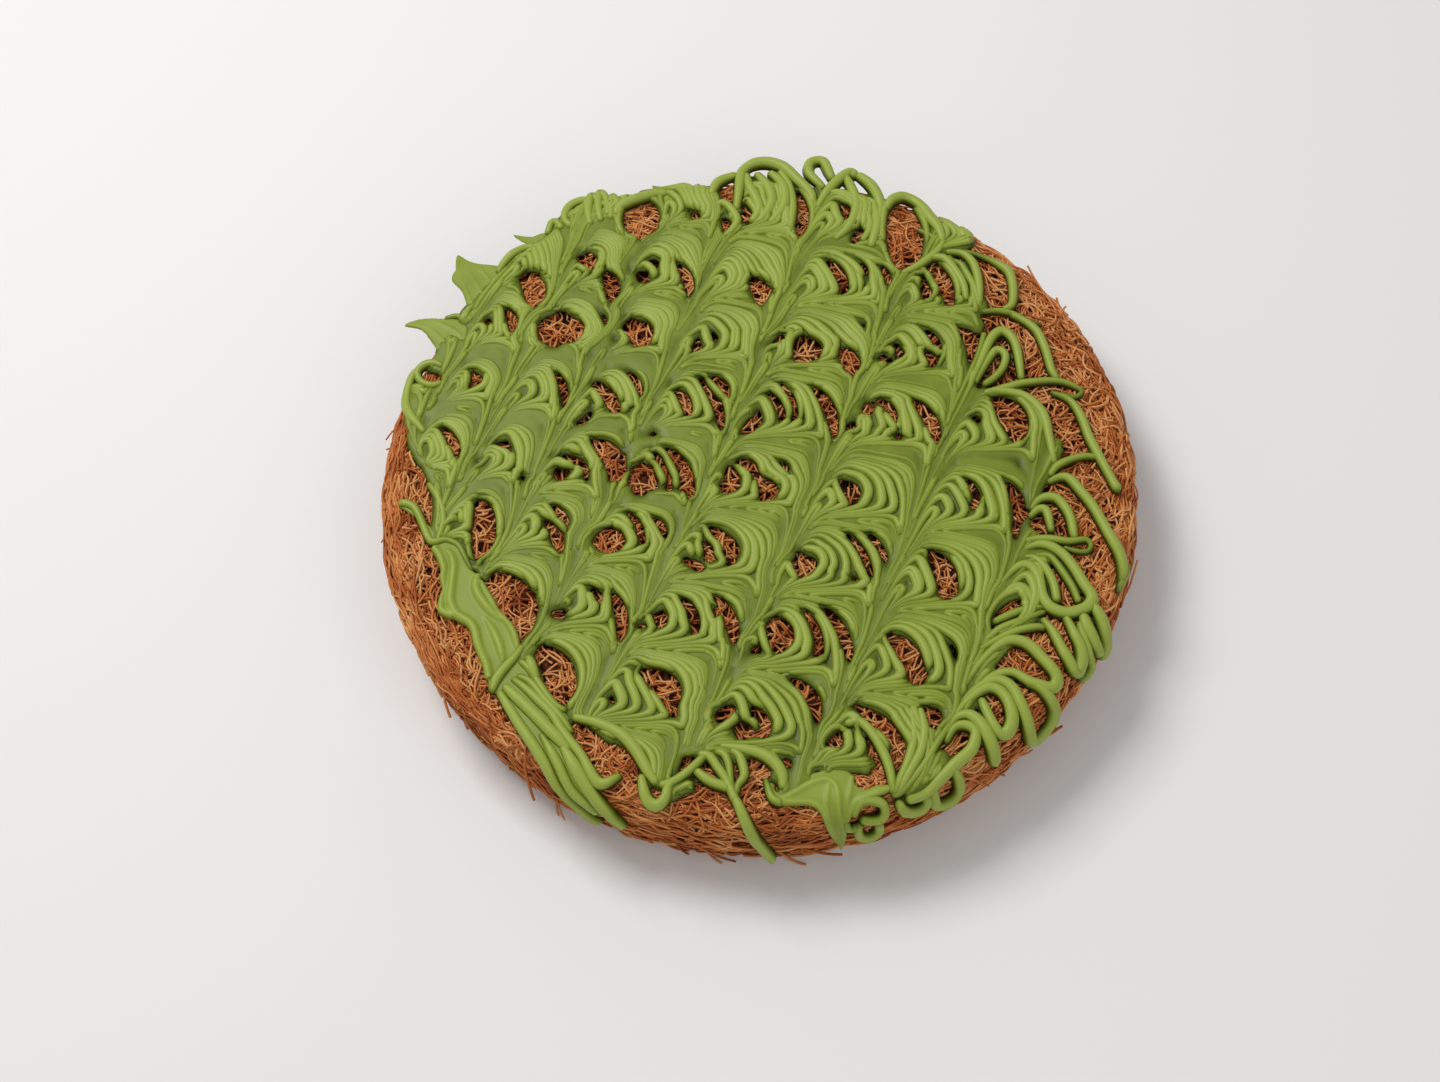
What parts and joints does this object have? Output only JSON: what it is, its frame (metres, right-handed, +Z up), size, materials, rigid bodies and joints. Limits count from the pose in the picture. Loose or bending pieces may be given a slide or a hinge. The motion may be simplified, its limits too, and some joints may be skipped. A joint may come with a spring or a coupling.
{
  "type": "kunafa",
  "caption": "Round of shredded kataifi pastry, flat underneath, its top covered by a combed open lace of piped pistachio cream that hangs over the near edge.",
  "frame": {"origin": "middle of the flat underside of the pastry round", "axes": "+Z up out of the top; +Y away from the edge that the cream hangs over, which is the near edge in the picture; +X to the right"},
  "size_m": [0.2332, 0.2382, 0.0355],
  "materials": {
    "kataifi": null,
    "pistachio": null
  },
  "bodies": {
    "root": {"kataifi_cake": "kataifi", "pistachio_cream": "pistachio"}
  },
  "joints": []
}
